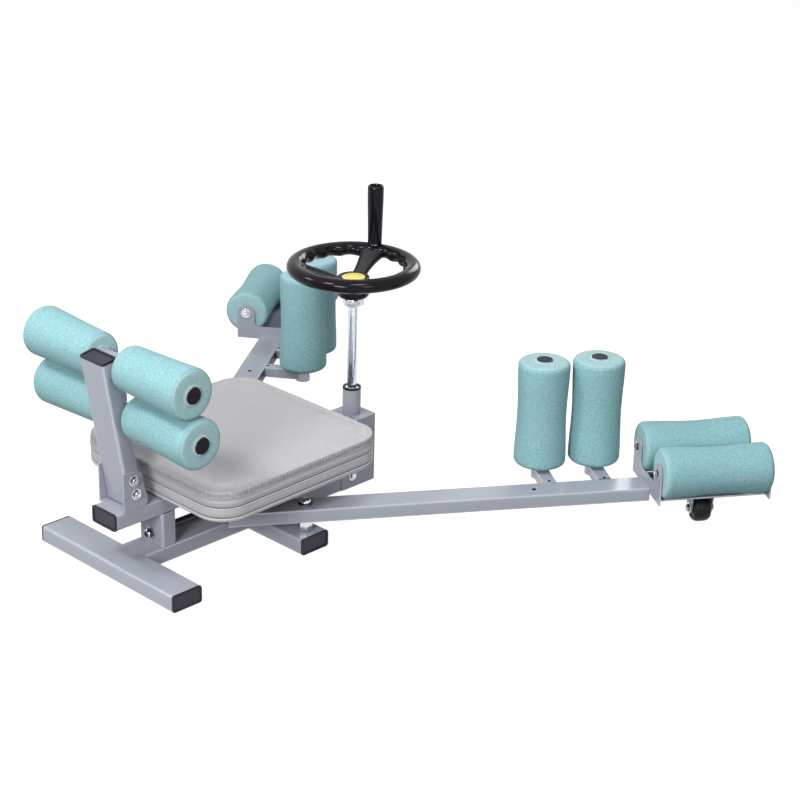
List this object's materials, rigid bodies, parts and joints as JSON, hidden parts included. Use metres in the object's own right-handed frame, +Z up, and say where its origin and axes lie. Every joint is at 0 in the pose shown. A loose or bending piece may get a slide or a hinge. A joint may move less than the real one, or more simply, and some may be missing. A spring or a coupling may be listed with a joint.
{
  "type": "leg stretching machine",
  "caption": "Seated leg stretching machine: padded seat, leaning foam-roller back and hinged legs on casters that a handwheel spreads through a lead screw.",
  "frame": {"origin": "On the floor, under the middle of the front cross foot, halfway between the two leg pivots.", "axes": "+X forward from the back post to the handwheel, +Y to the sitter's left, +Z up."},
  "size_m": [1.0403, 1.3496, 0.5301],
  "materials": {
    "frame_paint": "glossy silver grey powder coat",
    "black_plastic": "moulded, satin",
    "teal_foam": "soft closed-cell foam, fine speckle",
    "seat_vinyl": "soft grained vinyl with two piping lines",
    "plywood": "raw board",
    "zinc": "bright zinc plate",
    "chrome": "polished chrome",
    "black_bakelite": "glossy moulded, pebbled spokes",
    "yellow_plastic": "smooth bare disc",
    "bare_steel": "machined, oiled",
    "cast_iron": "dark, oiled",
    "wheel_tyre": "hard rubber"
  },
  "bodies": {
    "frame": {"rear_foot": "frame_paint", "rear_foot_cap_right": "black_plastic", "rear_foot_cap_left": "black_plastic", "front_foot": "frame_paint", "front_foot_cap_right": "black_plastic", "front_foot_cap_left": "black_plastic", "rear_beam": "frame_paint", "front_beam": "frame_paint", "rear_post": "frame_paint", "seat_rail": "frame_paint", "seat_rail_cap": "black_plastic", "back_bracket": "frame_paint", "back_post": "frame_paint", "back_post_cap": "black_plastic", "back_bolt_lower": "zinc", "back_bolt_upper": "zinc", "lower_cross_tube": "frame_paint", "upper_cross_tube": "frame_paint", "seat_board": "plywood", "seat_cushion": "seat_vinyl", "gear_housing": "frame_paint", "housing_bolt": "zinc", "shaft_collar": "frame_paint", "collar_bush": "black_plastic", "pivot_bolt_right": "zinc", "pivot_bolt_left": "zinc"},
    "handwheel_shaft": {"wheel_shaft": "chrome", "shaft_bevel_gear": "cast_iron", "handwheel": "black_bakelite", "hub_badge": "yellow_plastic", "handle_spindle": "zinc"},
    "grip": {"handle_grip": "black_bakelite"},
    "screw": {"lead_screw": "bare_steel", "screw_bevel_gear": "cast_iron"},
    "carriage": {"nut_carriage": "cast_iron"},
    "leg_right": {"leg_beam_right": "frame_paint", "calf_cradle_right": "frame_paint", "caster_fork_right": "zinc"},
    "link_arm_right": {"link_right": "bare_steel"},
    "lower_back_foam_right": {"lower_back_roller_right": "teal_foam"},
    "upper_back_foam_right": {"upper_back_roller_right": "teal_foam"},
    "rear_post_foam_right": {"rear_post_roller_right": "teal_foam"},
    "front_post_foam_right": {"front_post_roller_right": "teal_foam"},
    "outer_calf_foam_right": {"outer_calf_roller_right": "teal_foam"},
    "inner_calf_foam_right": {"inner_calf_roller_right": "teal_foam"},
    "wheel_right": {"caster_wheel_right": "wheel_tyre"},
    "leg_left": {"leg_beam_left": "frame_paint", "calf_cradle_left": "frame_paint", "caster_fork_left": "zinc"},
    "link_arm_left": {"link_left": "bare_steel"},
    "lower_back_foam_left": {"lower_back_roller_left": "teal_foam"},
    "upper_back_foam_left": {"upper_back_roller_left": "teal_foam"},
    "rear_post_foam_left": {"rear_post_roller_left": "teal_foam"},
    "front_post_foam_left": {"front_post_roller_left": "teal_foam"},
    "outer_calf_foam_left": {"outer_calf_roller_left": "teal_foam"},
    "inner_calf_foam_left": {"inner_calf_roller_left": "teal_foam"},
    "wheel_left": {"caster_wheel_left": "wheel_tyre"}
  },
  "joints": [
    {"name": "wheel_turn", "type": "hinge", "parent": "frame", "child": "handwheel_shaft", "pos_m": [0.2465, 0, 0.36], "axis": [0, 0, -1], "range_deg": [-1340, 3300]},
    {"name": "grip_spin", "type": "hinge", "parent": "handwheel_shaft", "child": "grip", "pos_m": [0.33968, 0.04149, 0.478], "axis": [0, 0, 1], "continuous": true},
    {"name": "screw_turn", "type": "hinge", "parent": "frame", "child": "screw", "pos_m": [0, 0, 0.048], "axis": [-1, 0, 0], "range_deg": [-1345, 3305]},
    {"name": "carriage_slide", "type": "slide", "parent": "frame", "child": "carriage", "axis": [1, 0, 0], "range_m": [-0.0374, 0.0918]},
    {"name": "leg_swing_right", "type": "hinge", "parent": "frame", "child": "leg_right", "pos_m": [0, -0.1427, 0.0675], "axis": [0, 0, -1], "range_deg": [-22.5, 55.4]},
    {"name": "link_swing_right", "type": "hinge", "parent": "carriage", "child": "link_arm_right", "pos_m": [0.03204, -0.02, 0.0825], "axis": [0, 0, -1], "range_deg": [-10.9, 26.7]},
    {"name": "lower_back_spin_right", "type": "hinge", "parent": "frame", "child": "lower_back_foam_right", "pos_m": [-0.26695, -0.112, 0.28395], "axis": [0, 1, 0], "continuous": true},
    {"name": "upper_back_spin_right", "type": "hinge", "parent": "frame", "child": "upper_back_foam_right", "pos_m": [-0.28218, -0.112, 0.37214], "axis": [0, 1, 0], "continuous": true},
    {"name": "rear_post_spin_right", "type": "hinge", "parent": "leg_right", "child": "rear_post_foam_right", "pos_m": [0.41333, -0.30662, 0.18], "axis": [0, 0, 1], "continuous": true},
    {"name": "front_post_spin_right", "type": "hinge", "parent": "leg_right", "child": "front_post_foam_right", "pos_m": [0.49512, -0.36294, 0.18], "axis": [0, 0, 1], "continuous": true},
    {"name": "outer_calf_spin_right", "type": "hinge", "parent": "leg_right", "child": "outer_calf_foam_right", "pos_m": [0.54504, -0.5872, 0.1225], "axis": [0.8236, -0.5671, 0], "continuous": true},
    {"name": "inner_calf_spin_right", "type": "hinge", "parent": "leg_right", "child": "inner_calf_foam_right", "pos_m": [0.60969, -0.49331, 0.1225], "axis": [0.8236, -0.5671, 0], "continuous": true},
    {"name": "caster_roll_right", "type": "hinge", "parent": "leg_right", "child": "wheel_right", "pos_m": [0.57901, -0.54139, 0.025], "axis": [0.8236, -0.5671, 0], "continuous": true},
    {"name": "leg_swing_left", "type": "hinge", "parent": "frame", "child": "leg_left", "pos_m": [0, 0.1427, 0.0675], "axis": [0, 0, 1], "range_deg": [-22.5, 55.4]},
    {"name": "link_swing_left", "type": "hinge", "parent": "carriage", "child": "link_arm_left", "pos_m": [0.03204, 0.02, 0.0825], "axis": [0, 0, 1], "range_deg": [-10.9, 26.7]},
    {"name": "lower_back_spin_left", "type": "hinge", "parent": "frame", "child": "lower_back_foam_left", "pos_m": [-0.26695, 0.112, 0.28395], "axis": [0, 1, 0], "continuous": true},
    {"name": "upper_back_spin_left", "type": "hinge", "parent": "frame", "child": "upper_back_foam_left", "pos_m": [-0.28218, 0.112, 0.37214], "axis": [0, 1, 0], "continuous": true},
    {"name": "rear_post_spin_left", "type": "hinge", "parent": "leg_left", "child": "rear_post_foam_left", "pos_m": [0.41333, 0.30662, 0.18], "axis": [0, 0, 1], "continuous": true},
    {"name": "front_post_spin_left", "type": "hinge", "parent": "leg_left", "child": "front_post_foam_left", "pos_m": [0.49512, 0.36294, 0.18], "axis": [0, 0, 1], "continuous": true},
    {"name": "outer_calf_spin_left", "type": "hinge", "parent": "leg_left", "child": "outer_calf_foam_left", "pos_m": [0.54504, 0.5872, 0.1225], "axis": [0.8236, 0.5671, 0], "continuous": true},
    {"name": "inner_calf_spin_left", "type": "hinge", "parent": "leg_left", "child": "inner_calf_foam_left", "pos_m": [0.60969, 0.49331, 0.1225], "axis": [0.8236, 0.5671, 0], "continuous": true},
    {"name": "caster_roll_left", "type": "hinge", "parent": "leg_left", "child": "wheel_left", "pos_m": [0.57901, 0.54139, 0.025], "axis": [0.8236, 0.5671, 0], "continuous": true}
  ],
  "couplings": [
    {"joint": "screw_turn", "follows": "wheel_turn", "ratio": 1},
    {"joint": "carriage_slide", "follows": "wheel_turn", "m_per_rad": 0.0015915},
    {"joint": "leg_swing_right", "follows": "wheel_turn", "ratio": 0.016753},
    {"joint": "link_swing_right", "follows": "wheel_turn", "ratio": 0.0080415},
    {"joint": "leg_swing_left", "follows": "wheel_turn", "ratio": 0.016753},
    {"joint": "link_swing_left", "follows": "wheel_turn", "ratio": 0.0080415}
  ]
}
